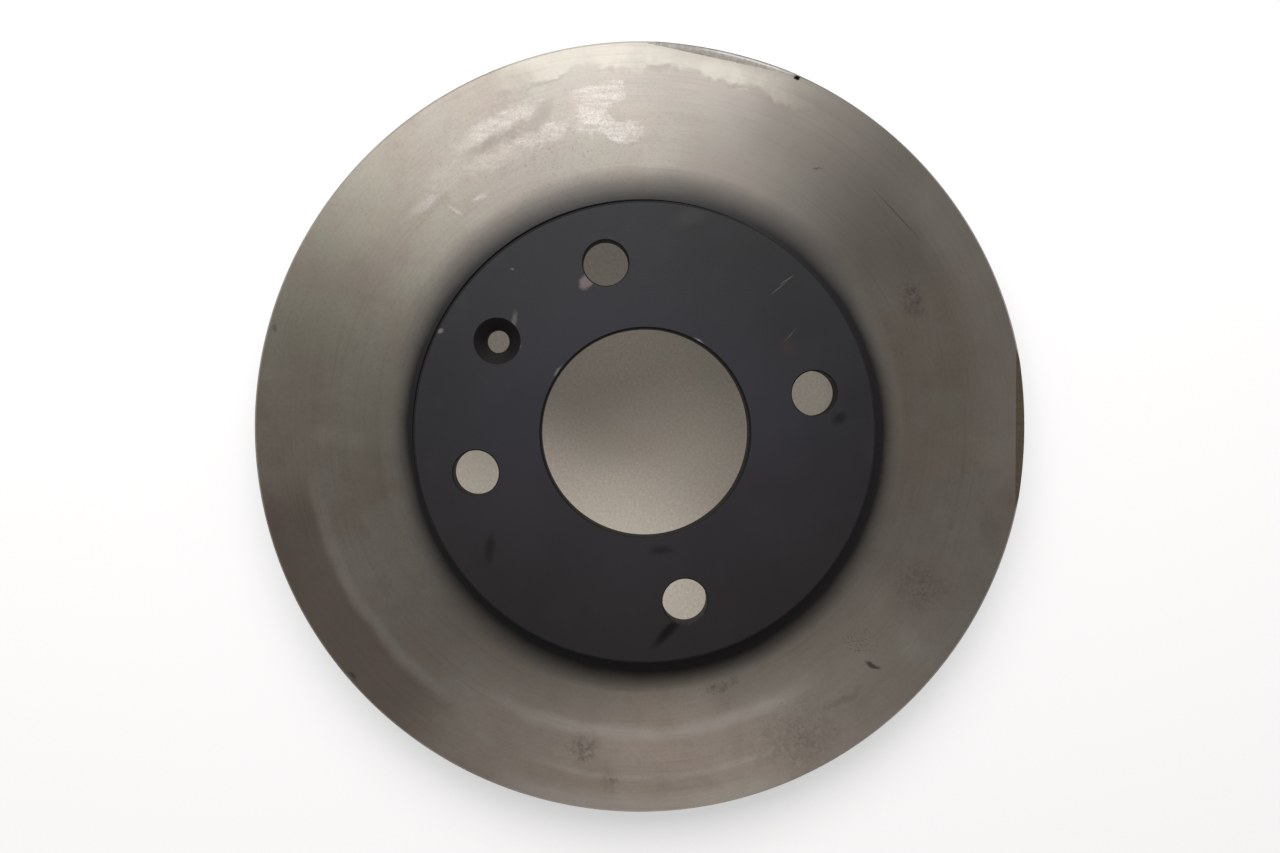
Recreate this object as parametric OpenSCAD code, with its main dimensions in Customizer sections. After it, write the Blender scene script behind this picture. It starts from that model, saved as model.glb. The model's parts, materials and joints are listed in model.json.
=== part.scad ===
// Vented front brake disc for a small car.
// The disc axis is Z and the hat points up. The origin is the centre of the bore on the hub face,
// and the first wheel bolt hole lies on +X.

/* [Friction ring] */
// Outer diameter of the disc
ring_d = 236; // [220:1:280]
// Thickness over both friction faces, new
ring_t = 20; // [18:0.5:24]
// Thickness of one cheek
cheek_t = 6.5; // [5:0.1:8]
// Inner diameter of both friction faces
face_inner_d = 140; // [138:1:150]
// Inner diameter of the inboard cheek, where the cooling air enters
inlet_d = 132; // [126:1:138]
// Chamfer on the outer edges of the friction faces
face_chamfer = 0.6; // [0.3:0.1:1.5]
// Radius on the cast edges of the cooling channels
cast_edge_r = 1.2; // [0.5:0.1:1.5]

/* [Hat] */
// Height from the inboard friction face to the wheel face
height = 41; // [39:0.5:50]
// Outer diameter of the hat
hat_d = 133; // [130:1:135]
// Thickness of the hat wall
wall_t = 6; // [5:0.1:7]
// Thickness of the mounting flange
flange_t = 6.5; // [5:0.1:8]
// Radius on the outer edge of the wheel face
hat_edge_r = 0.5; // [0.3:0.1:3]
// Depth of the relief groove round the hub face
relief_depth = 0.8; // [0.4:0.1:1.5]
// Width of the relief groove round the hub face
relief_w = 3; // [1:0.1:3]

/* [Neck] */
// Step down from the friction face to the neck
neck_step = 0.8; // [0.4:0.1:1.2]
// Radius of the fillet at the root of the hat
root_r = 1.2; // [0.5:0.1:1.6]
// Radius of the corner where the neck turns down into the cooling channels
turn_r = 4; // [2:0.1:4.5]
// Height of the hat wall that belongs to the neck
neck_wall = 2.5; // [2:0.1:4]

/* [Holes] */
// Diameter of the centre bore
bore_d = 60; // [54:0.1:68]
// Chamfer on the wheel side of the bore
bore_chamfer = 0.5; // [0.2:0.1:1]
// Pitch circle diameter of the wheel bolts
pcd = 100; // [98:1:102]
// Number of wheel bolts
bolt_count = 4; // [4:1:5]
// Diameter of the wheel bolt holes
bolt_hole_d = 13; // [12.5:0.1:15]
// Chamfer on the wheel side of the bolt holes
bolt_chamfer = 0.3; // [0.1:0.1:0.8]
// Diameter of the retaining screw hole
screw_hole_d = 6.5; // [5.5:0.1:8.5]
// Diameter of its 90 degree countersink
screw_sink_d = 13.4; // [11:0.1:14]

/* [Cooling vanes] */
// Number of vanes
vane_count = 36; // [24:1:48]
// Thickness of one vane
vane_t = 5; // [3.5:0.1:5.5]
// Distance from the face's inner edge to the vane's inner end
vane_inset = 2; // [1:0.5:6]
// Distance from the outer edge of the disc to the vane's outer end
vane_recess = 2; // [1.5:0.5:6]

/* [Balance cuts] */
// Angle of the first cut from the first bolt hole
cut_a_angle = 65; // [20:1:120]
// Radial width of the first cut
cut_a_w = 3; // [0.5:0.1:4]
// Angle of the second cut from the first bolt hole
cut_b_angle = -13; // [-60:1:0]
// Radial width of the second cut
cut_b_w = 3.2; // [0.5:0.1:4]
// Slope of both cuts below the friction face
cut_slope = 25; // [15:1:35]

/* [Hidden] */
$fn = 180;
slack = 1;
small_overlap = 0.01;

ring_r = ring_d / 2;
face_inner_r = face_inner_d / 2;
inlet_r = inlet_d / 2;
hat_r = hat_d / 2;
wall_inner_r = hat_r - wall_t;

// Levels above the hub face
inboard_face_z = flange_t - height;
channel_low_z = inboard_face_z + cheek_t;
outboard_face_z = inboard_face_z + ring_t;
channel_high_z = outboard_face_z - cheek_t;
neck_top_z = outboard_face_z + neck_wall;

vane_inner_r = face_inner_r + vane_inset;
vane_outer_r = ring_r - vane_recess;
// Midway between the second and third bolt holes
screw_angle = 1.5 * 360 / bolt_count;

iron = "silver";
coating = [0.16, 0.16, 0.17];
cast = [0.27, 0.27, 0.28];

function vane_name(i) = str("vane_", i < 10 ? "0" : "", i);

// Square corner at the origin less its inscribed arc: cuts a round edge, or fills a fillet
module corner(r) {
    difference() {
        translate([-small_overlap, -small_overlap])
            square(r + small_overlap);
        translate([r, r])
            circle(r);
    }
}

// Square on its corner that chamfers the edge at the origin
module edge_chamfer() {
    rotate(45)
        square(face_chamfer * sqrt(2), center = true);
}

// Hole through the flange with a 90 degree opening on the wheel side
module flared_hole(d, mouth_d) {
    flare = (mouth_d - d) / 2;
    translate([0, 0, -slack])
        cylinder(h = flange_t + 2 * slack, d = d);
    translate([0, 0, flange_t - flare])
        cylinder(h = flare + slack, d1 = d, d2 = mouth_d + 2 * slack);
}

// Milled flat that slopes down to the rim
module balance_cut(angle, w) {
    rotate([0, 0, angle])
        translate([ring_r - w, 0, outboard_face_z])
            rotate([0, cut_slope, 0])
                translate([0, -ring_r, 0])
                    cube([ring_r, ring_d, ring_t]);
}

module mounting_flange() {
    color(coating)
    difference() {
        rotate_extrude()
            difference() {
                square([hat_r, flange_t]);
                translate([hat_r, flange_t])
                    rotate(180)
                        corner(hat_edge_r);
                translate([wall_inner_r - relief_w, -slack])
                    square([relief_w, relief_depth + slack]);
            }
        flared_hole(bore_d, bore_d + 2 * bore_chamfer);
        for (i = [0 : bolt_count - 1])
            rotate([0, 0, i * 360 / bolt_count])
                translate([pcd / 2, 0, 0])
                    flared_hole(bolt_hole_d, bolt_hole_d + 2 * bolt_chamfer);
        rotate([0, 0, screw_angle])
            translate([pcd / 2, 0, 0])
                flared_hole(screw_hole_d, screw_sink_d);
    }
}

module hat_wall() {
    color(coating)
    rotate_extrude()
        translate([wall_inner_r, neck_top_z])
            square([wall_t, -neck_top_z]);
}

module neck() {
    web_top_z = outboard_face_z - neck_step;
    color(coating)
    rotate_extrude()
        difference() {
            union() {
                translate([wall_inner_r, channel_high_z])
                    square([wall_t, neck_top_z - channel_high_z]);
                translate([wall_inner_r, channel_high_z])
                    square([face_inner_r - wall_inner_r, web_top_z - channel_high_z]);
                translate([hat_r, web_top_z])
                    corner(root_r);
            }
            translate([wall_inner_r, channel_high_z])
                corner(turn_r);
        }
}

module outboard_ring() {
    color(iron)
    difference() {
        difference() {
            rotate_extrude()
                difference() {
                    translate([face_inner_r, channel_high_z])
                        square([ring_r - face_inner_r, cheek_t]);
                    translate([ring_r, channel_high_z])
                        rotate(90)
                            corner(cast_edge_r);
                }
            balance_cut(cut_a_angle, cut_a_w);
            balance_cut(cut_b_angle, cut_b_w);
        }
        rotate_extrude()
            translate([ring_r, outboard_face_z])
                edge_chamfer();
    }
}

module inboard_ring() {
    color(iron)
    rotate_extrude()
        difference() {
            translate([inlet_r, inboard_face_z])
                square([ring_r - inlet_r, cheek_t]);
            translate([ring_r, inboard_face_z])
                edge_chamfer();
            translate([inlet_r - slack, inboard_face_z - slack])
                square([face_inner_r - inlet_r + slack, neck_step + slack]);
            translate([ring_r, channel_low_z])
                rotate(180)
                    corner(cast_edge_r);
            translate([inlet_r, channel_low_z])
                rotate(-90)
                    corner(cast_edge_r);
        }
}

module vane(i) {
    color(cast)
    rotate([0, 0, (i - 0.5) * 360 / vane_count])
        translate([0, 0, channel_low_z])
            linear_extrude(channel_high_z - channel_low_z) {
                translate([vane_inner_r + vane_t / 2, -vane_t / 2])
                    square([vane_outer_r - vane_inner_r - vane_t, vane_t]);
                translate([vane_inner_r + vane_t / 2, 0])
                    circle(d = vane_t);
                translate([vane_outer_r - vane_t / 2, 0])
                    circle(d = vane_t);
            }
}

mounting_flange();
hat_wall();
neck();
outboard_ring();
inboard_ring();
for (i = [1 : vane_count])
    vane(i);
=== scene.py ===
"""Looks of a vented brake disc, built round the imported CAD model. Lengths are in metres."""
import json
import math

import bpy
import bmesh
from mathutils import Matrix, Vector


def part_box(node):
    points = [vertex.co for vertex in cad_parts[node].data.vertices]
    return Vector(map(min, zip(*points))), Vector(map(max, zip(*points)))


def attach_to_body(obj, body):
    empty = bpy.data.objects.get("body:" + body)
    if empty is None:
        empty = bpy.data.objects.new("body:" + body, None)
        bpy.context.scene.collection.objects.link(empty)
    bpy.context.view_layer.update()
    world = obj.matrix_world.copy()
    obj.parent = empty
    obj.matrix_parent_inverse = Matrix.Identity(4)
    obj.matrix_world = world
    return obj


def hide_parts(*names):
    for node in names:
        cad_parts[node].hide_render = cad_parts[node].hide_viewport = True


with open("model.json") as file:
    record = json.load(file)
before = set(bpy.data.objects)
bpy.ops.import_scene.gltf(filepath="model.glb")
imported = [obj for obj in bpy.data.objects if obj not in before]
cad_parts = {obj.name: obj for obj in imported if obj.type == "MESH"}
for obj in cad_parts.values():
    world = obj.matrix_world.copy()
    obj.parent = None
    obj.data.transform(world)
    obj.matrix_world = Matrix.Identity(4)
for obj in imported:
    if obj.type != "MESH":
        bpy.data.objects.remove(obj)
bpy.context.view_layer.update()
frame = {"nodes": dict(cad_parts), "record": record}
mounts = {m["name"]: m for m in frame["record"]["mounts"]}

# ---- Sizes read from the frame ----
OUTBOARD_LOW, OUTBOARD_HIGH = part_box("outboard_ring")
INBOARD_LOW, INBOARD_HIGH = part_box("inboard_ring")
FLANGE_LOW, FLANGE_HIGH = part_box("mounting_flange")
NECK_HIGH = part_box("neck")[1]
RING_R = min(OUTBOARD_HIGH.x, OUTBOARD_HIGH.y)
OUTBOARD_FACE_Z = OUTBOARD_HIGH.z
CHANNEL_HIGH_Z = OUTBOARD_LOW.z
CHANNEL_LOW_Z = INBOARD_HIGH.z
INBOARD_FACE_Z = INBOARD_LOW.z
HUB_FACE_Z = FLANGE_LOW.z
WHEEL_FACE_Z = FLANGE_HIGH.z
HAT_R = FLANGE_HIGH.x
FACE_INNER_R = NECK_HIGH.x
NECK_TOP_Z = NECK_HIGH.z
BORE_R = mounts["hub_bore"]["dims"]["r_mm"] / 1000
BOLT_CIRCLE_R = mounts["wheel_bolts"]["dims"]["pcd_mm"] / 2000
BOLT_COUNT = mounts["wheel_bolts"]["dims"]["count"]
BOLT_HOLE_R = mounts["wheel_bolts"]["dims"]["hole_r_mm"] / 1000
SCREW_HOLE_R = mounts["retaining_screw"]["dims"]["r_mm"] / 1000
SCREW_AT = Vector(mounts["retaining_screw"]["pos_m"])
VANES = sorted(n for n in frame["nodes"] if n.startswith("vane_"))

# ---- Small sizes of the same casting, as in the CAD source ----
# A cut is its angle from the first bolt hole and its radial width.
WALL_T = 0.006
INLET_R = 0.066
NECK_STEP = 0.0008
ROOT_R = 0.0012
TURN_R = 0.004
HAT_EDGE_R = 0.0005
RELIEF_W = 0.003
RELIEF_DEPTH = 0.0008
FACE_CHAMFER = 0.0006
CAST_EDGE_R = 0.0012
BORE_CHAMFER = 0.0005
BOLT_CHAMFER = 0.0003
SINK_R = 0.0067
VANE_T = 0.005
VANE_INSET = 0.002
VANE_RECESS = 0.002
CUTS = ((math.radians(65), 0.0030), (math.radians(-13), 0.0032))
CUT_SLOPE = math.radians(25)

# ---- Finer sizes that only the looks have ----
# Softened edge round the mouths of the holes.
EDGE_SOFT = 0.00012
VANE_FILLET = 0.0013
# The cast skin reaches this far up the rim past its rounded edge.
RIM_SKIN = 0.0002

# Materials are laid out in millimetres, where the rest of the script is in metres.
MM_PER_M = 1000.0
RING_R_MM = RING_R * MM_PER_M
WHEEL_FACE_Z_MM = WHEEL_FACE_Z * MM_PER_M

# ---- How the picture is turned ----
# The first bolt hole stands this far round from the picture's right-hand direction.
PICTURE_TURN = math.radians(13.2)


def from_picture(x, y, z):
    """A point given in the picture's right and up directions, in the row frame."""
    return Matrix.Rotation(-PICTURE_TURN, 3, "Z") @ Vector((x, y, z))


# ---- Camera ----
# Places in the picture's right and up directions, found by matching the photo's circles.
CAMERA_X, CAMERA_Y, CAMERA_HEIGHT = -0.0103, 0.0122, 0.3385
AIM_X, AIM_Y = -0.00162, 0.00189
LENS_MM, SENSOR_MM = 32.52, 36.0


def look(obj, target, up):
    """Turns obj so that it looks at target with the given up direction."""
    back = (obj.location - target).normalized()
    right = up.cross(back).normalized()
    turn = Matrix((right, back.cross(right), back)).transposed().to_4x4()
    obj.matrix_world = Matrix.Translation(obj.location) @ turn


def make_camera():
    data = bpy.data.cameras.new("camera")
    data.lens = LENS_MM
    data.sensor_width = SENSOR_MM
    data.clip_start = 0.01
    camera = bpy.data.objects.new("camera", data)
    bpy.context.scene.collection.objects.link(camera)
    camera.location = from_picture(CAMERA_X, CAMERA_Y, CAMERA_HEIGHT)
    look(camera, from_picture(AIM_X, AIM_Y, WHEEL_FACE_Z), from_picture(0, 1, 0))
    bpy.context.scene.camera = camera


# ---- Lights ----
BACKDROP_TINT = (1.0, 0.93, 0.86, 1)
BACKDROP_STRENGTH = 0.2


def soft_light(name, azimuth, elevation, distance, size, power, tint):
    """A rectangular softbox that faces the disc, placed by the picture's directions in degrees."""
    data = bpy.data.lights.new(name, "AREA")
    data.shape = "RECTANGLE"
    data.size, data.size_y = size
    data.energy = power
    data.color = tint
    light = bpy.data.objects.new(name, data)
    bpy.context.scene.collection.objects.link(light)
    a, e = math.radians(azimuth), math.radians(elevation)
    towards = from_picture(math.cos(a) * math.cos(e), math.sin(a) * math.cos(e), math.sin(e))
    light.location = towards * distance
    look(light, Vector((0, 0, 0)), Vector((0, 0, 1)))


def make_lights():
    soft_light(
        "window", azimuth=98, elevation=52, distance=0.9, size=(0.9, 0.6), power=6.2,
        tint=(1.0, 0.985, 0.97)
    )
    world = bpy.data.worlds.new("studio")
    bpy.context.scene.world = world
    world.use_nodes = True
    backdrop = world.node_tree.nodes["Background"]
    backdrop.inputs["Color"].default_value = BACKDROP_TINT
    backdrop.inputs["Strength"].default_value = BACKDROP_STRENGTH
    bpy.context.scene.view_settings.view_transform = "Standard"


# ---- Node graphs ----
class Graph:
    """A material's nodes, with short names for the ones used here. Marks lie at places in millimetres."""

    # A mark's size along the axis: so long that it goes through the whole disc.
    ANY_HEIGHT = 1000.0

    def __init__(self, name):
        self.material = bpy.data.materials.new(name)
        self.material.use_nodes = True
        self.tree = self.material.node_tree
        self.shader = self.tree.nodes["Principled BSDF"]

    def add(self, kind, inputs=(), **settings):
        node = self.tree.nodes.new(kind)
        for key, value in settings.items():
            setattr(node, key, value)
        for key, value in dict(inputs).items():
            self.set(node.inputs[key], value)
        return node

    def set(self, socket, value):
        if isinstance(value, bpy.types.NodeSocket):
            self.tree.links.new(value, socket)
        else:
            socket.default_value = value

    def math(self, operation, *values):
        node = self.add("ShaderNodeMath", enumerate(values), operation=operation)
        return node.outputs[0]

    def vector(self, operation, *values):
        node = self.add("ShaderNodeVectorMath", enumerate(values), operation=operation)
        return node.outputs["Value"] if operation == "LENGTH" else node.outputs["Vector"]

    def scaled(self, vector, factor):
        node = self.add("ShaderNodeVectorMath", {"Vector": vector, "Scale": factor}, operation="SCALE")
        return node.outputs["Vector"]

    def step(self, value, low, high, to_low=0.0, to_high=1.0):
        """Smooth change from to_low to to_high as value goes from low to high."""
        inputs = {"Value": value, "From Min": low, "From Max": high, "To Min": to_low, "To Max": to_high}
        return self.add("ShaderNodeMapRange", inputs, interpolation_type="SMOOTHSTEP").outputs["Result"]

    def noise(self, vector, scale, detail=3.0, roughness=0.5, seed=0.0):
        inputs = {"Vector": vector, "W": seed, "Scale": scale, "Detail": detail, "Roughness": roughness}
        return self.add("ShaderNodeTexNoise", inputs, noise_dimensions="4D").outputs["Fac"]

    def mix(self, factor, first, second):
        """first where factor is 0 and second where it is 1, for colours."""
        node = self.add("ShaderNodeMix", data_type="RGBA")
        self.set(node.inputs["Factor"], factor)
        first_socket, second_socket = [s for s in node.inputs if s.type == "RGBA"]
        self.set(first_socket, first)
        self.set(second_socket, second)
        return next(s for s in node.outputs if s.type == "RGBA")

    def mm(self):
        """Where a point lies, in millimetres along the picture's right and up and the disc's axis."""
        place = self.add("ShaderNodeTexCoord").outputs["Object"]
        inputs = {"Vector": self.scaled(place, MM_PER_M), "Axis": (0.0, 0.0, 1.0), "Angle": PICTURE_TURN}
        return self.add("ShaderNodeVectorRotate", inputs, rotation_type="AXIS_ANGLE").outputs["Vector"]

    def polar(self, place):
        """Radius in millimetres, angle in degrees from the picture's right, and height in millimetres."""
        parts = self.add("ShaderNodeSeparateXYZ", {"Vector": place}).outputs
        flat = self.vector("MULTIPLY", place, (1.0, 1.0, 0.0))
        angle = self.math("MULTIPLY", self.math("ARCTAN2", parts["Y"], parts["X"]), 180 / math.pi)
        return self.vector("LENGTH", flat), angle, parts["Z"]

    def ramp(self, value, low, high, to_low=0.0, to_high=1.0):
        """Straight change from to_low to to_high as value goes from low to high."""
        inputs = {"Value": value, "From Min": low, "From Max": high, "To Min": to_low, "To Max": to_high}
        return self.add("ShaderNodeMapRange", inputs).outputs["Result"]

    def times(self, *values):
        total = values[0]
        for value in values[1:]:
            total = self.math("MULTIPLY", total, value)
        return total

    def most(self, *values):
        total = values[0]
        for value in values[1:]:
            total = self.math("MAXIMUM", total, value)
        return total

    def near(self, value, middle, full, none):
        """1 within full of the middle value, falling to 0 at none."""
        return self.step(self.math("ABSOLUTE", self.math("SUBTRACT", value, middle)), full, none, 1.0, 0.0)

    def ragged(self, place, scale, amount, seed):
        """The flat place pushed about by noise, so that marks drawn in it get uneven edges."""
        inputs = {"Vector": place, "W": seed, "Scale": scale, "Detail": 4.0, "Roughness": 0.65}
        push = self.add("ShaderNodeTexNoise", inputs, noise_dimensions="4D").outputs["Color"]
        centred = self.vector("SUBTRACT", push, (0.5, 0.5, 0.5))
        moved = self.vector("ADD", place, self.scaled(centred, amount))
        return self.vector("MULTIPLY", moved, (1.0, 1.0, 0.0))

    def patch(self, place, x, y, half_x, half_y, tilt=0.0, soft=0.35, strength=1.0):
        """A soft-edged oval mark round x, y, tilted in degrees: strength inside and 0 outside."""
        inputs = {
            "Vector": place, "Location": (x, y, 0.0), "Rotation": (0.0, 0.0, math.radians(tilt)),
            "Scale": (half_x, half_y, self.ANY_HEIGHT)
        }
        inside = self.add("ShaderNodeMapping", inputs, vector_type="TEXTURE").outputs["Vector"]
        return self.step(self.vector("LENGTH", inside), 1 - soft, 1 + soft, strength, 0.0)

    def sector(self, place, middle, half, soft):
        """1 within half degrees of the middle direction and 0 beyond the soft margin."""
        towards = (math.cos(math.radians(middle)), math.sin(math.radians(middle)), 0.0)
        flat = self.vector("NORMALIZE", self.vector("MULTIPLY", place, (1.0, 1.0, 0.0)))
        inputs = {0: flat, 1: towards}
        along = self.add("ShaderNodeVectorMath", inputs, operation="DOT_PRODUCT").outputs["Value"]
        return self.step(along, math.cos(math.radians(half + soft)), math.cos(math.radians(half)))

    def bump(self, height, depth, strength=1.0, normal=None):
        """A normal from a height between 0 and 1 that stands for depth in metres."""
        inputs = {"Height": height, "Distance": depth, "Strength": strength}
        if normal is not None:
            inputs["Normal"] = normal
        return self.add("ShaderNodeBump", inputs).outputs["Normal"]

    def finish(self, **sockets):
        """Sets the shader's inputs by name, with _ for a space."""
        for key, value in sockets.items():
            self.set(self.shader.inputs[key.replace("_", " ")], value)
        return self.material


# ---- Materials ----
COAT_DARK = (0.0105, 0.0100, 0.0145, 1)
COAT_PALE = (0.0220, 0.0215, 0.0320, 1)


def rubbed_marks(g, place):
    """Pale rubbed places on the upper left of the friction face, grainy and brushed."""
    uneven = g.ragged(place, 0.22, 11.0, 21.0)
    fine = g.ragged(place, 0.6, 2.4, 22.0)
    marks = g.most(
        g.patch(uneven, -13, 102, 8.0, 4.2, 6, 0.45),
        g.patch(uneven, -16, 96, 6.0, 6.0, 0, 0.5),
        g.patch(uneven, -8.5, 91.5, 8.0, 2.8, -4, 0.45),
        g.patch(uneven, -42, 93.5, 14.0, 2.8, 29, 0.6, 0.85),
        g.patch(uneven, -31, 89.5, 12.5, 2.2, 18, 0.6, 0.75),
        g.patch(uneven, -46, 82, 9.0, 2.8, 19, 0.7, 0.45),
        g.patch(uneven, -60, 76, 8.0, 3.4, 35, 0.7, 0.35),
        g.patch(fine, -66, 68.5, 4.6, 1.4, 36, 0.6, 0.7),
        g.patch(fine, -56.7, 66.5, 2.7, 0.5, -38, 0.6, 0.6),
        g.patch(fine, -49.2, 71, 2.2, 0.6, 27, 0.6, 0.6),
        g.patch(fine, 29.5, 103.8, 3.4, 0.4, -8, 0.8, 0.5)
    )
    grain = g.ramp(g.noise(place, 2.3, 2.0, 0.6, 23.0), 0.36, 0.64, 0.35, 1.0)
    turned_place = {"Vector": place, "Rotation": (0, 0, math.radians(-26)), "Scale": (0.10, 0.85, 1)}
    brush_at = g.add("ShaderNodeMapping", turned_place).outputs["Vector"]
    brush = g.ramp(g.noise(brush_at, 1.0, 4.0, 0.7, 28.0), 0.34, 0.6, 0.3, 1.0)
    return g.times(marks, grain, brush)


def dark_marks(g, place):
    """Small dark stains, specks and scratches on the friction face."""
    uneven = g.ragged(place, 0.22, 9.0, 24.0)
    fine = g.ragged(place, 0.6, 2.4, 25.0)
    scrawl = g.ramp(g.noise(place, 0.75, 3.0, 0.75, 26.0), 0.40, 0.62)
    dots = g.step(g.noise(place, 1.7, 1.0, 0.5, 27.0), 0.60, 0.68)
    scribbled = g.times(scrawl, g.most(
        g.patch(uneven, -18.6, -98, 4.0, 4.6, 0, 0.6, 0.42),
        g.patch(uneven, -10, -108.5, 2.6, 3.2, 0, 0.6, 0.35),
        g.patch(uneven, 82, 40, 5.5, 3.0, -60, 0.6, 0.42),
        g.patch(uneven, 48, -96, 13.0, 8.0, 14, 0.8, 0.27),
        g.patch(uneven, 85, -49, 7.0, 6.5, -30, 0.8, 0.34),
        g.patch(uneven, 24.5, -78.8, 4.5, 1.5, 15, 0.6, 0.5)
    ))
    dotted = g.times(dots, g.most(
        g.patch(uneven, 67, -65, 5.0, 3.6, 20, 0.5, 0.6),
        g.patch(uneven, 45, -93, 15.0, 9.0, 10, 0.8, 0.28),
        g.patch(uneven, -30, 86, 40.0, 16.0, 15, 0.8, 0.22)
    ))
    plain = g.most(
        g.patch(fine, 70.8, -72.8, 2.3, 0.75, -25, 0.5, 0.75),
        g.patch(fine, 52.9, 79.9, 1.4, 0.16, 8, 0.8, 0.7),
        g.patch(fine, -89, -74.8, 1.6, 0.6, -45, 0.6, 0.5),
        g.patch(fine, -111.5, 31, 0.7, 1.2, 0, 0.6, 0.35),
        g.patch(place, 77.5, 66, 8.8, 0.16, -46.5, 0.8, 0.5),
        g.patch(place, 41.8, 109.6, 5.5, 0.7, -20.8, 0.8, 0.4),
        g.patch(place, 25.6, 111.9, 19.0, 1.3, -11.8, 0.9, 0.14),
        g.patch(uneven, 60.6, -83.5, 7.5, 1.2, 30, 0.8, 0.22),
        g.patch(uneven, -38, 105.5, 4.0, 3.0, 20, 0.7, 0.2),
        g.patch(uneven, -30.5, 96.2, 5.5, 2.2, 60, 0.7, 0.16),
        g.patch(uneven, -44, 88, 11.0, 1.3, 27, 0.8, 0.2),
        g.patch(uneven, 107, -32, 3.0, 7.0, 10, 0.8, 0.14)
    )
    return g.most(scribbled, dotted, plain)


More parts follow.
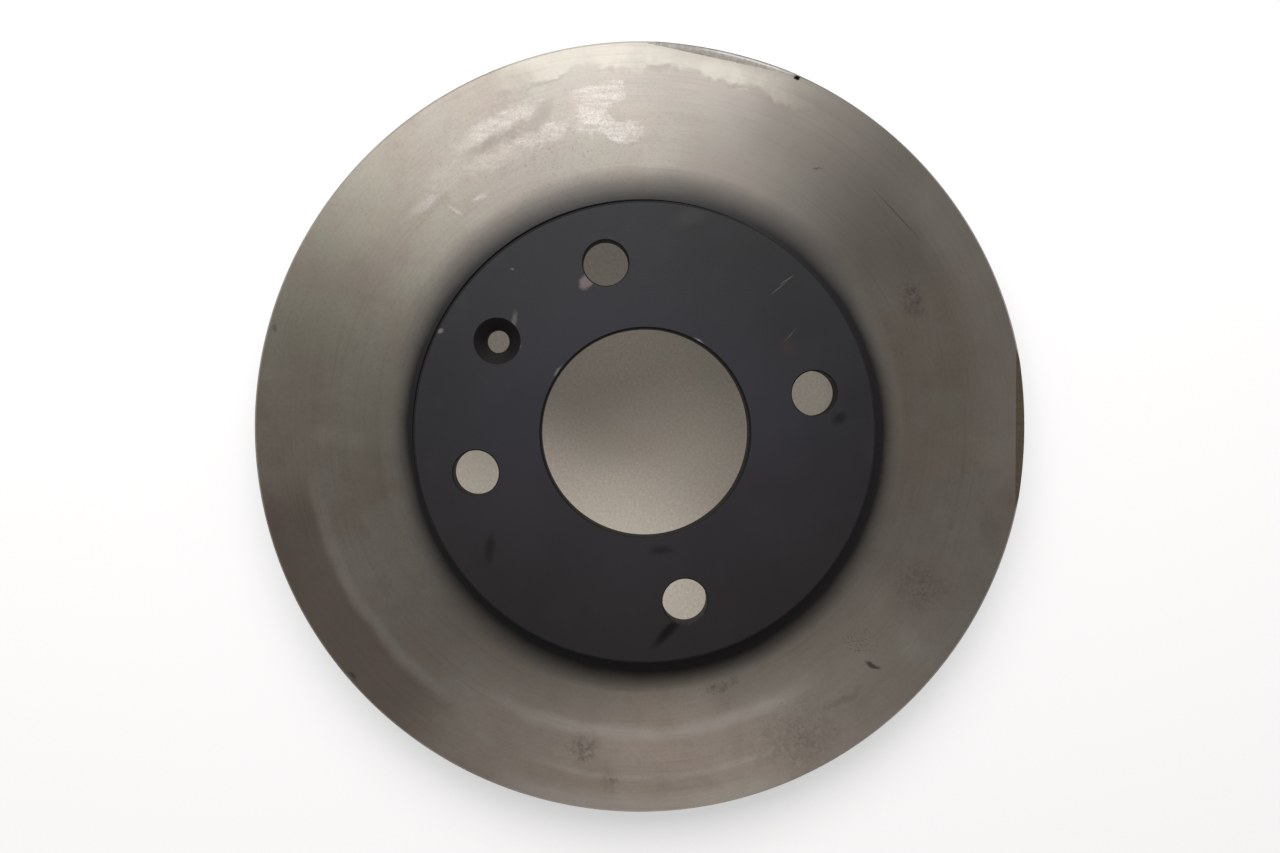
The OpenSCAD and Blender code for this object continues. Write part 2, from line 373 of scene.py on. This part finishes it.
def machined_iron():
    """Bare grey iron turned on a lathe: fine rings, a stretched highlight, stains, painted shade and
    highlights, and overspray that is also painted shadow of the hat.
    """
    g = Graph("machined_iron")
    place = g.mm()
    radius, angle, height = g.polar(place)
    parts = g.add("ShaderNodeSeparateXYZ", {"Vector": place}).outputs
    cloud = g.noise(place, 0.035, 4.0, 0.6, 4.0)
    mottle = g.noise(place, 0.16, 4.0, 0.65, 11.0)
    edge_noise = g.math("SUBTRACT", g.noise(place, 0.075, 4.0, 0.6, 12.0), 0.5)
    uneven_radius = g.math("ADD", radius, g.times(edge_noise, 4.0))

    # Lathe marks: fine rings that fade in and out along their length.
    rings_at = g.add("ShaderNodeCombineXYZ", {"X": radius, "Y": g.times(angle, 0.02)}).outputs[0]
    fine = g.noise(rings_at, 4.5, 3.0, 0.75, 2.0)
    rings = g.noise(rings_at, 1.3, 3.0, 0.75, 3.0)
    bands = g.noise(g.scaled(rings_at, 0.2), 1.0, 3.0, 0.6, 13.0)

    # Tone of the iron: greyer at the top, olive on the left, brown below. The brown below is also paler,
    # which is painted highlight.
    colour = g.mix(g.step(cloud, 0.35, 0.65), (0.43, 0.395, 0.35, 1), (0.48, 0.455, 0.415, 1))
    colour = g.mix(g.step(bands, 0.35, 0.68, 0.0, 0.25), colour, (0.36, 0.33, 0.29, 1))
    colour = g.mix(g.patch(place, -94, 46, 38, 60, 20, 0.7, 0.45), colour, (0.60, 0.585, 0.48, 1))
    colour = g.mix(g.patch(place, 5, -112, 95, 26, 0, 0.6, 0.5), colour, (0.56, 0.45, 0.385, 1))
    tint = g.noise(place, 0.055, 3.0, 0.55, 32.0)
    colour = g.mix(g.step(tint, 0.44, 0.62, 0.0, 0.4), colour, (0.455, 0.385, 0.345, 1))
    colour = g.mix(g.step(tint, 0.34, 0.46, 0.3, 0.0), colour, (0.50, 0.495, 0.42, 1))
    # Painted shade: darker in set directions round the ring, and on its inner part near the top, shaping the
    # highlight.
    painted_shade = g.most(
        g.times(g.sector(place, 60, 8, 28), 0.62),
        g.times(g.sector(place, 318, 14, 26), 0.3),
        g.times(g.sector(place, 240, 10, 24), 0.32),
        g.times(g.sector(place, 112, 14, 20), g.step(radius, 80, 104, 0.26, 0.0))
    )
    colour = g.mix(painted_shade, colour, (0.22, 0.205, 0.19, 1))
    grit = g.noise(place, 0.9, 4.0, 0.7, 29.0)
    colour = g.mix(g.step(grit, 0.42, 0.66, 0.0, 0.16), colour, (0.26, 0.235, 0.21, 1))

    # What lies on the wheel side only.
    wheel_side = g.step(height, CHANNEL_LOW_Z * MM_PER_M, CHANNEL_HIGH_Z * MM_PER_M)

    # Tide mark along the top of the rim, paler and yellowish outside its wavy edge.
    wave = g.times(g.math("SUBTRACT", g.noise(place, 0.055, 4.0, 0.6, 14.0), 0.5), 18.0)
    tide_at = g.math("ADD", radius, wave)
    tide_ends = g.times(g.step(parts["X"], -46, -38), g.step(parts["X"], 26, 56, 1.0, 0.0))
    tide_reach = g.times(g.step(parts["Y"], 90, 100), tide_ends, wheel_side)
    tide = g.times(tide_reach, g.step(tide_at, 109.0, 111.0), g.step(mottle, 0.3, 0.6, 0.55, 1.0))
    tide_line = g.times(tide_reach, g.near(tide_at, 109.6, 0.1, 1.1), g.step(mottle, 0.42, 0.55))
    colour = g.mix(g.times(tide, 0.45), colour, (0.72, 0.705, 0.615, 1))

    # Darker and lighter fields with curved edges, left by handling and by the lathe, and painted highlights
    # on the ring at the right, the bottom and the top.
    outer_left = g.times(g.sector(place, 212, 16, 10), g.step(uneven_radius, 102.0, 104.2))
    colour = g.mix(g.times(outer_left, wheel_side, 0.45), colour, (0.20, 0.15, 0.125, 1))
    left_line = g.times(g.sector(place, 211, 10, 14), g.near(uneven_radius, 100.6, 0.3, 2.6))
    right_field = g.times(g.step(uneven_radius, 103.6, 105.2, 1.0, 0.0), g.step(radius, 78, 96))
    inner_right = g.times(g.sector(place, 47, 12, 16), right_field, wheel_side)
    colour = g.mix(g.times(inner_right, 0.28), colour, (0.25, 0.235, 0.215, 1))
    colour = g.mix(g.times(g.step(mottle, 0.48, 0.72), 0.2), colour, (0.27, 0.235, 0.20, 1))
    streaks = g.ramp(rings, 0.35, 0.65, 0.45, 1.0)
    low_band = g.times(g.sector(place, 272, 16, 20), g.near(uneven_radius, 93.4, 0.3, 3.4), streaks)
    low_line = g.times(g.sector(place, 272, 12, 12), g.near(uneven_radius, 107.0, 0.1, 1.6), streaks)
    wedge = g.patch(place, -92, -2, 9, 3, -12, 0.5)
    # Painted highlights: the ring is paler on its outer part at the right, the bottom and the top.
    painted_highlight_right = g.times(g.sector(place, 18, 16, 14), g.step(radius, 98, 112))
    painted_highlight_low = g.times(g.sector(place, 270, 12, 14), g.step(radius, 110, 116))
    painted_highlight_top = g.times(g.sector(place, 90, 10, 14), g.step(radius, 76, 112))
    # Pale marks and bands, together with the painted highlights, all mixed towards one pale colour.
    light = g.most(
        g.times(rubbed_marks(g, place), 0.95), g.times(low_band, 0.4), g.times(low_line, 0.22),
        g.times(left_line, 0.2), g.times(wedge, 0.16), g.times(painted_highlight_right, 0.25),
        g.times(painted_highlight_low, 0.3), g.times(painted_highlight_top, 0.22)
    )
    colour = g.mix(g.times(light, wheel_side), colour, (0.74, 0.71, 0.68, 1))
    marks = g.times(g.most(dark_marks(g, place), g.times(tide_line, 0.16)), wheel_side)
    dark = g.most(marks, g.ramp(rings, 0.5, 0.8, 0.0, 0.15))
    colour = g.mix(dark, colour, (0.05, 0.04, 0.035, 1))
    black_spot = g.patch(g.ragged(place, 1.2, 1.8, 31.0), 46.6, 107.2, 0.95, 0.7, -20, 0.3)
    colour = g.mix(g.times(black_spot, wheel_side), colour, (0.006, 0.006, 0.006, 1))

    # Black coat that drifted onto the face round the hat, further on the lower right than on the upper left.
    # It is also painted shadow and dark reflection of the hat on the face.
    flat = g.vector("NORMALIZE", g.vector("MULTIPLY", place, (1.0, 1.0, 0.0)))
    lean = g.add("ShaderNodeVectorMath", {0: flat, 1: (0.574, -0.819, 0.0)}, operation="DOT_PRODUCT")
    starts = g.math("ADD", g.times(lean.outputs["Value"], 2.4), 72.2)
    starts = g.math("ADD", starts, g.times(g.sector(place, 150, 18, 25), 1.2))
    overspray_and_shadow = g.ramp(g.math("ADD", radius, g.times(edge_noise, 1.6)), starts, 80.8, 0.98, 0.0)
    colour = g.mix(overspray_and_shadow, colour, COAT_DARK)
    roughness = g.math("ADD", g.step(fine, 0.2, 0.8, 0.37, 0.46), g.step(cloud, 0.3, 0.7, 0.0, 0.06))
    tangent = g.add("ShaderNodeTangent", direction_type="RADIAL", axis="Z").outputs["Tangent"]
    return g.finish(
        Base_Color=colour, Metallic=g.math("SUBTRACT", 1.0, overspray_and_shadow), Roughness=roughness, Anisotropic=0.8,
        Anisotropic_Rotation=0.25, Tangent=tangent, Normal=g.bump(g.math("ADD", fine, rings), 0.000005)
    )


def coating():
    """Thin satin near-black coat over turned iron, with chips, scratches and dark smears on the hat, and
    painted sheen and shade on its face.
    """
    g = Graph("hat_coating")
    place = g.mm()
    radius, _, height = g.polar(place)
    up = g.add("ShaderNodeSeparateXYZ", {"Vector": place}).outputs["Y"]
    cloud = g.noise(place, 0.03, 4.0, 0.6, 5.0)
    smudge = g.noise(place, 0.09, 4.0, 0.6, 15.0)
    grain = g.noise(place, 2.0, 3.0, 0.6, 6.0)
    fine = g.ragged(place, 0.7, 1.6, 16.0)
    on_face = g.step(height, WHEEL_FACE_Z_MM - 0.7, WHEEL_FACE_Z_MM - 0.3)
    # Painted sheen: the coat is paler towards the centre of the hat face, with random cloud.
    centre_sheen_and_cloud = g.math("ADD", g.step(radius, 34, 66, 0.75, 0.0), g.times(cloud, 0.4))
    colour = g.mix(centre_sheen_and_cloud, COAT_DARK, COAT_PALE)
    colour = g.mix(g.step(smudge, 0.5, 0.75, 0.0, 0.4), colour, (0.026, 0.025, 0.036, 1))
    # Painted light: the coat is warmer towards the bottom of the picture.
    colour = g.mix(g.step(up, -50, 10, 0.45, 0.0), colour, (0.022, 0.0165, 0.0160, 1))
    # Painted shade on the upper right of the hat face.
    painted_shade = g.times(g.sector(place, 55, 10, 25), g.step(radius, 30, 56))
    colour = g.mix(g.times(painted_shade, 0.55), colour, (0.008, 0.008, 0.011, 1))
    smears = g.times(on_face, g.most(
        g.patch(fine, 6.6, -57.3, 5.0, 1.3, 46, 0.7, 0.65),
        g.patch(fine, -44.8, -33, 1.2, 3.6, -8, 0.8, 0.4),
        g.patch(fine, 4.5, -33.8, 2.8, 1.1, 5, 0.8, 0.4),
        g.patch(fine, 56, 4.2, 2.0, 1.3, 30, 0.7, 0.45)
    ))
    colour = g.mix(smears, colour, (0.010, 0.008, 0.008, 1))
    pale = g.times(on_face, g.most(
        g.patch(fine, 13, 62, 5.0, 2.2, 20, 0.8, 0.035),
        g.patch(fine, -37.6, 32.4, 0.7, 2.2, -12, 0.6, 0.22),
        g.patch(fine, -36.6, 25, 0.9, 0.6, 0, 0.6, 0.25),
        g.patch(place, 38.2, 41.6, 2.4, 0.11, 39, 0.8, 0.22),
        g.patch(place, 40.6, 44.0, 1.9, 0.13, 33, 0.8, 0.28),
        g.patch(fine, -58.6, 29.3, 0.9, 0.5, 30, 0.6, 0.45),
        g.patch(fine, -38.1, 46.7, 0.4, 0.3, 0, 0.6, 0.3),
        g.patch(place, 41.5, 28, 2.4, 0.14, 50, 0.8, 0.14),
        g.patch(fine, -25.2, 17.8, 1.5, 0.3, 55, 0.6, 0.3),
        g.patch(fine, 15.2, 26.4, 1.3, 0.5, -28, 0.6, 0.75)
    ))
    colour = g.mix(pale, colour, (0.42, 0.40, 0.39, 1))
    pink_chip = g.times(on_face, g.patch(fine, -16.8, 43.5, 2.5, 1.6, 50, 0.35))
    colour = g.mix(pink_chip, colour, (0.20, 0.155, 0.165, 1))
    rust_spot = g.times(on_face, g.patch(fine, 40.7, 25, 2.4, 2.2, 0, 0.9, 0.3))
    colour = g.mix(rust_spot, colour, (0.06, 0.030, 0.018, 1))
    # Painted shade: the rounded outer edge of the hat face is painted near-black so that it shows no
    # highlight, and is made rougher.
    flat_r = (HAT_R - HAT_EDGE_R) * MM_PER_M
    painted_shade_dull_edge = g.step(radius, flat_r - 0.15, flat_r + 0.1)
    colour = g.mix(g.times(painted_shade_dull_edge, on_face, 0.8), colour, (0.005, 0.005, 0.006, 1))
    roughness = g.math("ADD", g.step(cloud, 0.3, 0.7, 0.42, 0.52), g.times(painted_shade_dull_edge, on_face, 0.35))
    return g.finish(
        Base_Color=colour, Metallic=smears, Roughness=roughness, Normal=g.bump(grain, 0.00002)
    )


def hole_coat_painted_shade():
    """The coat on the walls of the holes: dull, and painted darker than the hat's coat as shade in the holes.
    """
    g = Graph("hole_coat_painted_shade")
    place = g.mm()
    grain = g.noise(place, 1.1, 3.0, 0.6, 17.0)
    colour = g.mix(grain, (0.003, 0.0028, 0.0028, 1), (0.008, 0.0075, 0.0075, 1))
    return g.finish(
        Base_Color=colour, Roughness=g.step(grain, 0.3, 0.7, 0.55, 0.7),
        Normal=g.bump(grain, 0.00004)
    )


def cast_skin():
    """The same dark coat over rough sand-cast iron."""
    g = Graph("cast_skin")
    place = g.mm()
    grain = g.noise(place, 0.9, 5.0, 0.65, 7.0)
    pits = g.noise(place, 0.35, 3.0, 0.5, 8.0)
    colour = g.mix(pits, (0.016, 0.015, 0.015, 1), (0.040, 0.036, 0.033, 1))
    return g.finish(
        Base_Color=colour, Roughness=g.step(grain, 0.3, 0.7, 0.62, 0.8),
        Normal=g.bump(grain, 0.00018)
    )


def milled_iron():
    """Bare iron left by the balancing cutter: patchy, with a painted highlight along its outer edge and a
    dark lower edge.
    """
    g = Graph("milled_iron")
    place = g.mm()
    radius, angle, _ = g.polar(place)
    marks_at = g.add("ShaderNodeCombineXYZ", {"X": angle, "Y": g.times(radius, 0.05)}).outputs[0]
    marks = g.noise(marks_at, 1.8, 3.0, 0.7, 9.0)
    blotch = g.noise(place, 0.8, 4.0, 0.7, 30.0)
    rough = g.step(g.math("ADD", g.times(marks, 0.4), g.times(blotch, 0.6)), 0.35, 0.65)
    inner = g.mix(rough, (0.33, 0.31, 0.28, 1), (0.52, 0.495, 0.455, 1))
    outer = g.mix(rough, (0.42, 0.40, 0.37, 1), (0.62, 0.60, 0.57, 1))
    colour = g.mix(g.step(radius, RING_R_MM - 2.4, RING_R_MM - 0.6), inner, outer)
    # Painted highlight: a bright line near the rim on the upper cut.
    painted_edge_highlight = g.times(g.near(radius, RING_R_MM - 0.75, 0.12, 0.4), g.sector(place, 74.5, 3, 5))
    colour = g.mix(g.times(painted_edge_highlight, 0.8), colour, (0.92, 0.91, 0.90, 1))
    low_edge = g.step(radius, RING_R_MM - 0.42, RING_R_MM - 0.15)
    colour = g.mix(g.times(low_edge, 0.6), colour, (0.09, 0.085, 0.08, 1))

    # The cut on the picture's right is darker and browner.
    darker_brown = g.mix(rough, (0.20, 0.178, 0.130, 1), (0.28, 0.245, 0.180, 1))
    colour = g.mix(g.patch(place, 116, 0, 14, 34, 0, 0.3), colour, darker_brown)
    return g.finish(
        Base_Color=colour, Metallic=1.0, Roughness=g.step(marks, 0.2, 0.8, 0.38, 0.5),
        Normal=g.bump(marks, 0.00002)
    )


def light_table():
    """White floor that glows softly, and is greyer and speckled in the middle, under the disc, where the glow
    is painted light that rises towards the lower side and near two holes.
    """
    g = Graph("light_table")
    place = g.mm()
    radius, _, _ = g.polar(place)
    parts = g.add("ShaderNodeSeparateXYZ", {"Vector": place}).outputs
    open_floor = g.step(radius, 62, 100)
    speckle = g.step(g.noise(place, 1.1, 2.0, 0.7, 10.0), 0.3, 0.75)
    cloud = g.noise(place, 0.08, 3.0, 0.5, 19.0)
    grey = g.mix(speckle, (0.32, 0.283, 0.242, 1), (0.40, 0.356, 0.308, 1))
    grey = g.mix(g.step(cloud, 0.4, 0.7, 0.0, 0.3), grey, (0.31, 0.30, 0.245, 1))
    grey = g.mix(g.patch(place, -5, 1, 19, 12, 0, 0.6, 0.35), grey, (0.22, 0.19, 0.16, 1))
    white = g.mix(speckle, (0.795, 0.800, 0.810, 1), (0.81, 0.815, 0.825, 1))
    # Painted light under the disc: glow rising towards the lower side, pools near the right bolt hole and the
    # screw hole, and glinting specks.
    towards = g.math("ADD", g.times(parts["X"], -0.5), g.times(parts["Y"], -0.86))
    sparkle = g.step(g.noise(place, 2.6, 1.0, 0.5, 20.0), 0.70, 0.76, 0.0, 0.35)
    near_right_hole = g.patch(place, 50, 11, 14, 14, 0, 0.5, 0.25)
    near_screw_hole = g.patch(place, -43, 26, 12, 12, 0, 0.5, 0.12)
    painted_light_near_holes = g.most(near_right_hole, near_screw_hole, sparkle)
    under = g.math("ADD", g.step(towards, 2, 50, 0.31, 0.98), painted_light_near_holes)
    glow = g.math("ADD", g.times(under, g.math("SUBTRACT", 1.0, open_floor)), g.times(open_floor, 0.6))
    colour = g.mix(open_floor, grey, white)
    return g.finish(Base_Color=colour, Roughness=0.85, Emission_Color=colour, Emission_Strength=glow)


MACHINED, COAT, CAST = machined_iron(), coating(), cast_skin()
MILLED, HOLE_WALL = milled_iron(), hole_coat_painted_shade()
SLOTS = (MACHINED, COAT, CAST, MILLED, HOLE_WALL)

# ---- Mesh helpers ----
STEPS = 720
HOLE_STEPS = 128
ARC_POINTS = 6
SOFT_POINTS = 3
SHARP = math.radians(20)
# Corners closer than this are one corner.
MERGE_M = 0.000002
# Turns a cutter by part of a step, so that its corners miss the edges that it cuts.
OFF_GRID = 0.37


def arc(centre, radius, start, end, count=ARC_POINTS):
    """Points on an arc in the (radius, height) plane, angles in degrees."""
    angles = [math.radians(start + (end - start) * i / count) for i in range(count + 1)]
    return [(centre[0] + radius * math.cos(a), centre[1] + radius * math.sin(a)) for a in angles]


def profile(*stretches):
    """Joins (points, material) stretches into one closed outline of (radius, height, material index)."""
    return [(r, z, SLOTS.index(material)) for points, material in stretches for r, z in points]


def turned(outline, steps=STEPS):
    """A closed bmesh of the outline turned round Z. A point's material covers the stretch after it."""
    mesh = bmesh.new()
    loops = []
    for i in range(steps):
        a = 2 * math.pi * i / steps
        loops.append([mesh.verts.new((r * math.cos(a), r * math.sin(a), z)) for r, z, _ in outline])
    for i in range(steps):
        near, far = loops[i], loops[(i + 1) % steps]
        for j in range(len(outline)):
            k = (j + 1) % len(outline)
            face = mesh.faces.new((near[j], near[k], far[k], far[j]))
            face.material_index = outline[j][2]
    bmesh.ops.recalc_face_normals(mesh, faces=mesh.faces)
    return mesh


def as_object(name, mesh):
    """The bmesh as a shown object that holds the shared materials."""
    data = bpy.data.meshes.new(name)
    mesh.to_mesh(data)
    mesh.free()
    for material in SLOTS:
        data.materials.append(material)
    piece = bpy.data.objects.new(name, data)
    bpy.context.scene.collection.objects.link(piece)
    return piece


def shade(piece):
    """Smooth shading that keeps flat faces flat and edges over the SHARP angle sharp."""
    piece.data.shade_smooth()
    piece.data.set_sharp_from_angle(angle=SHARP)
    weights = piece.modifiers.new("weights", "WEIGHTED_NORMAL")
    weights.mode = "FACE_AREA"
    weights.keep_sharp = True


def attach(piece, node):
    """The piece rides on the one body and stands for the CAD node, which it hides."""
    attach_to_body(piece, "root")
    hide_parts(node)


def subtract(piece, cutter):
    """Cuts cutter out of piece for good, closes what gaps the cut leaves, and removes the cutter."""
    cut = piece.modifiers.new("cut", "BOOLEAN")
    cut.operation = "DIFFERENCE"
    cut.solver = "EXACT"
    cut.object = cutter
    bpy.context.view_layer.update()
    data = bpy.data.meshes.new_from_object(piece.evaluated_get(bpy.context.evaluated_depsgraph_get()))
    mesh = bmesh.new()
    mesh.from_mesh(data)
    bmesh.ops.remove_doubles(mesh, verts=mesh.verts, dist=MERGE_M)
    gaps = [e for e in mesh.edges if e.is_boundary]
    for wall in bmesh.ops.holes_fill(mesh, edges=gaps)["faces"]:
        wall.material_index = SLOTS.index(HOLE_WALL)
    bmesh.ops.recalc_face_normals(mesh, faces=mesh.faces)
    mesh.to_mesh(data)
    mesh.free()
    old = piece.data
    piece.modifiers.clear()
    piece.data = data
    data.name = piece.name
    bpy.data.meshes.remove(old)
    bpy.data.objects.remove(cutter)


# ---- Friction rings ----
def outboard_ring():
    face, low = OUTBOARD_FACE_Z, CHANNEL_HIGH_Z
    step = FACE_CHAMFER / 2
    outline = profile(
        ([(FACE_INNER_R, low), (RING_R - CAST_EDGE_R, low)], CAST),
        (arc((RING_R - CAST_EDGE_R, low + CAST_EDGE_R), CAST_EDGE_R, -90, 0)[1:], CAST),
        ([(RING_R, low + CAST_EDGE_R + RIM_SKIN)], COAT),
        ([(RING_R, face - FACE_CHAMFER), (RING_R - FACE_CHAMFER, face)], MACHINED),
        ([(FACE_INNER_R + step, face)], MACHINED),
        ([(FACE_INNER_R, face - step)], CAST),
    )
    mesh = turned(outline)
    for angle, width in CUTS:
        out = Vector((math.cos(angle), math.sin(angle), 0))
        slope = out * math.sin(CUT_SLOPE) + Vector((0, 0, math.cos(CUT_SLOPE)))
        edge = out * (RING_R - width) + Vector((0, 0, face))
        everything = mesh.verts[:] + mesh.edges[:] + mesh.faces[:]
        cut = bmesh.ops.bisect_plane(mesh, geom=everything, plane_co=edge, plane_no=slope, clear_outer=True)
        rim = [e for e in cut["geom_cut"] if isinstance(e, bmesh.types.BMEdge)]
        for filled in bmesh.ops.holes_fill(mesh, edges=rim)["faces"]:
            filled.material_index = SLOTS.index(MILLED)
    piece = as_object("outboard_ring_detail", mesh)
    shade(piece)
    attach(piece, "outboard_ring")


def inboard_ring():
    face, high = INBOARD_FACE_Z, CHANNEL_LOW_Z
    step = FACE_CHAMFER / 2
    outline = profile(
        ([(INLET_R, face + NECK_STEP), (FACE_INNER_R, face + NECK_STEP)], CAST),
        ([(FACE_INNER_R, face + step), (FACE_INNER_R + step, face), (RING_R - FACE_CHAMFER, face)], MACHINED),
        ([(RING_R, face + FACE_CHAMFER)], COAT),
        (arc((RING_R - CAST_EDGE_R, high - CAST_EDGE_R), CAST_EDGE_R, 0, 90), CAST),
        (arc((INLET_R + CAST_EDGE_R, high - CAST_EDGE_R), CAST_EDGE_R, 90, 180), CAST),
    )
    piece = as_object("inboard_ring_detail", turned(outline))
    shade(piece)
    attach(piece, "inboard_ring")


# ---- Hat ----
def hat_wall():
    inner = HAT_R - WALL_T
    outline = profile(
        ([(inner, NECK_TOP_Z), (HAT_R, NECK_TOP_Z)], COAT),
        ([(HAT_R, HUB_FACE_Z)], CAST),
        ([(inner, HUB_FACE_Z)], CAST),
    )
    piece = as_object("hat_wall_detail", turned(outline))
    shade(piece)
    attach(piece, "hat_wall")


def neck():
    inner = HAT_R - WALL_T
    web = OUTBOARD_FACE_Z - NECK_STEP
    outline = profile(
        (arc((inner + TURN_R, CHANNEL_HIGH_Z + TURN_R), TURN_R, 180, 270), CAST),
        ([(FACE_INNER_R, CHANNEL_HIGH_Z)], CAST),
        ([(FACE_INNER_R, web)], MACHINED),
        (arc((HAT_R + ROOT_R, web + ROOT_R), ROOT_R, 270, 180), COAT),
        ([(HAT_R, NECK_TOP_Z)], CAST),
        ([(inner, NECK_TOP_Z)], CAST),
    )
    piece = as_object("neck_detail", turned(outline))
    shade(piece)
    attach(piece, "neck")


def mouth_turn(mouth):
    """The softened edge from the wheel face into a 45 degree countersink that opens to the mouth radius."""
    turn_in = EDGE_SOFT * math.tan(math.radians(22.5))
    return arc((mouth + turn_in, WHEEL_FACE_Z - EDGE_SOFT), EDGE_SOFT, 90, 135, SOFT_POINTS)


# The cutters stand this far out of the flange on both sides.
CUTTER_REACH = 0.002
# Past the softened edge they rise from the face at a low slope, and then spread.
CUTTER_LIP_R, CUTTER_LIP_Z, CUTTER_SPREAD = 0.0004, 0.0001, 0.001


def hole_cutter(radius, mouth, at):
    """A cutter for a round hole through the flange that opens at 45 degrees to the mouth radius."""
    top, bottom = WHEEL_FACE_Z + CUTTER_REACH, HUB_FACE_Z - CUTTER_REACH
    edge = list(reversed(mouth_turn(mouth)))
    points = [(radius, bottom), (radius, WHEEL_FACE_Z - (mouth - radius))] + edge
    points += [(edge[-1][0] + CUTTER_LIP_R, WHEEL_FACE_Z + CUTTER_LIP_Z), (mouth + CUTTER_SPREAD, top)]
    outline = [(r, z, SLOTS.index(HOLE_WALL)) for r, z in points]
    mesh = bmesh.new()
    loops = []
    for i in range(HOLE_STEPS):
        a = 2 * math.pi * (i + OFF_GRID) / HOLE_STEPS
        x, y = math.cos(a), math.sin(a)
        loops.append([mesh.verts.new((at.x + r * x, at.y + r * y, z)) for r, z, _ in outline])
    for i in range(HOLE_STEPS):
        near, far = loops[i], loops[(i + 1) % HOLE_STEPS]
        for j in range(len(outline) - 1):
            face = mesh.faces.new((near[j], far[j], far[j + 1], near[j + 1]))
            face.material_index = outline[j][2]
    mesh.faces.new([loop[0] for loop in reversed(loops)])
    mesh.faces.new([loop[-1] for loop in loops])
    bmesh.ops.recalc_face_normals(mesh, faces=mesh.faces)
    return as_object("cutter", mesh)


def mounting_flange():
    top, low = WHEEL_FACE_Z, HUB_FACE_Z
    inner = HAT_R - WALL_T
    groove = inner - RELIEF_W
    outline = profile(
        ([(BORE_R, low), (groove, low), (groove, low + RELIEF_DEPTH), (inner, low + RELIEF_DEPTH)], COAT),
        ([(inner, low), (HAT_R, low)], COAT),
        (arc((HAT_R - HAT_EDGE_R, top - HAT_EDGE_R), HAT_EDGE_R, 0, 90), COAT),
        (mouth_turn(BORE_R + BORE_CHAMFER), HOLE_WALL),
        ([(BORE_R, top - BORE_CHAMFER)], HOLE_WALL),
    )
    piece = as_object("mounting_flange_detail", turned(outline))
    for i in range(BOLT_COUNT):
        at = Matrix.Rotation(2 * math.pi * i / BOLT_COUNT, 3, "Z") @ Vector((BOLT_CIRCLE_R, 0, 0))
        subtract(piece, hole_cutter(BOLT_HOLE_R, BOLT_HOLE_R + BOLT_CHAMFER, at))
    subtract(piece, hole_cutter(SCREW_HOLE_R, SINK_R, SCREW_AT))
    shade(piece)
    attach(piece, "mounting_flange")


# ---- Vanes ----
END_TURN_DEG = 15
FLARE_POINTS = 5


def vane(node, index):
    """One cast vane: round ends, and a fillet where it meets each ring."""
    low, high = CHANNEL_LOW_Z, CHANNEL_HIGH_Z
    start, end = FACE_INNER_R + VANE_INSET + VANE_T / 2, RING_R - VANE_RECESS - VANE_T / 2
    turns = range(-90, 91, END_TURN_DEG)
    flare = [math.radians(90 * i / FLARE_POINTS) for i in range(FLARE_POINTS + 1)]
    levels = [(low + VANE_FILLET * (1 - math.cos(a)), VANE_FILLET * (1 - math.sin(a))) for a in flare]
    levels += [(high + low - z, out) for z, out in reversed(levels)]
    mesh = bmesh.new()
    loops = []
    for z, out in levels:
        half = VANE_T / 2 + out
        round_end = [(half * math.cos(math.radians(t)), half * math.sin(math.radians(t))) for t in turns]
        outer = [(end + x, y) for x, y in round_end]
        inner = [(start - x, -y) for x, y in round_end]
        loops.append([mesh.verts.new((x, y, z)) for x, y in outer + inner])
    for near, far in zip(loops, loops[1:]):
        for j in range(len(near)):
            k = (j + 1) % len(near)
            mesh.faces.new((near[j], near[k], far[k], far[j]))
    mesh.faces.new(list(reversed(loops[0])))
    mesh.faces.new(loops[-1])
    for face in mesh.faces:
        face.material_index = SLOTS.index(CAST)
    turn = Matrix.Rotation((index + 0.5) * 2 * math.pi / len(VANES), 4, "Z")
    bmesh.ops.transform(mesh, matrix=turn, verts=mesh.verts)
    bmesh.ops.recalc_face_normals(mesh, faces=mesh.faces)
    piece = as_object(node + "_detail", mesh)
    shade(piece)
    attach(piece, node)


# ---- Stage ----
FLOOR_SIZE = 4.0
# Keeps the floor clear of the friction face that lies on it.
FLOOR_GAP = 0.00003


def make_floor():
    mesh = bmesh.new()
    bmesh.ops.create_grid(mesh, x_segments=1, y_segments=1, size=FLOOR_SIZE / 2)
    data = bpy.data.meshes.new("floor")
    mesh.to_mesh(data)
    mesh.free()
    data.materials.append(light_table())
    floor = bpy.data.objects.new("floor", data)
    bpy.context.scene.collection.objects.link(floor)
    floor.location.z = INBOARD_FACE_Z - FLOOR_GAP


make_camera()
make_lights()
make_floor()
outboard_ring()
inboard_ring()
hat_wall()
neck()
mounting_flange()
for number, vane_node in enumerate(VANES):
    vane(vane_node, number)
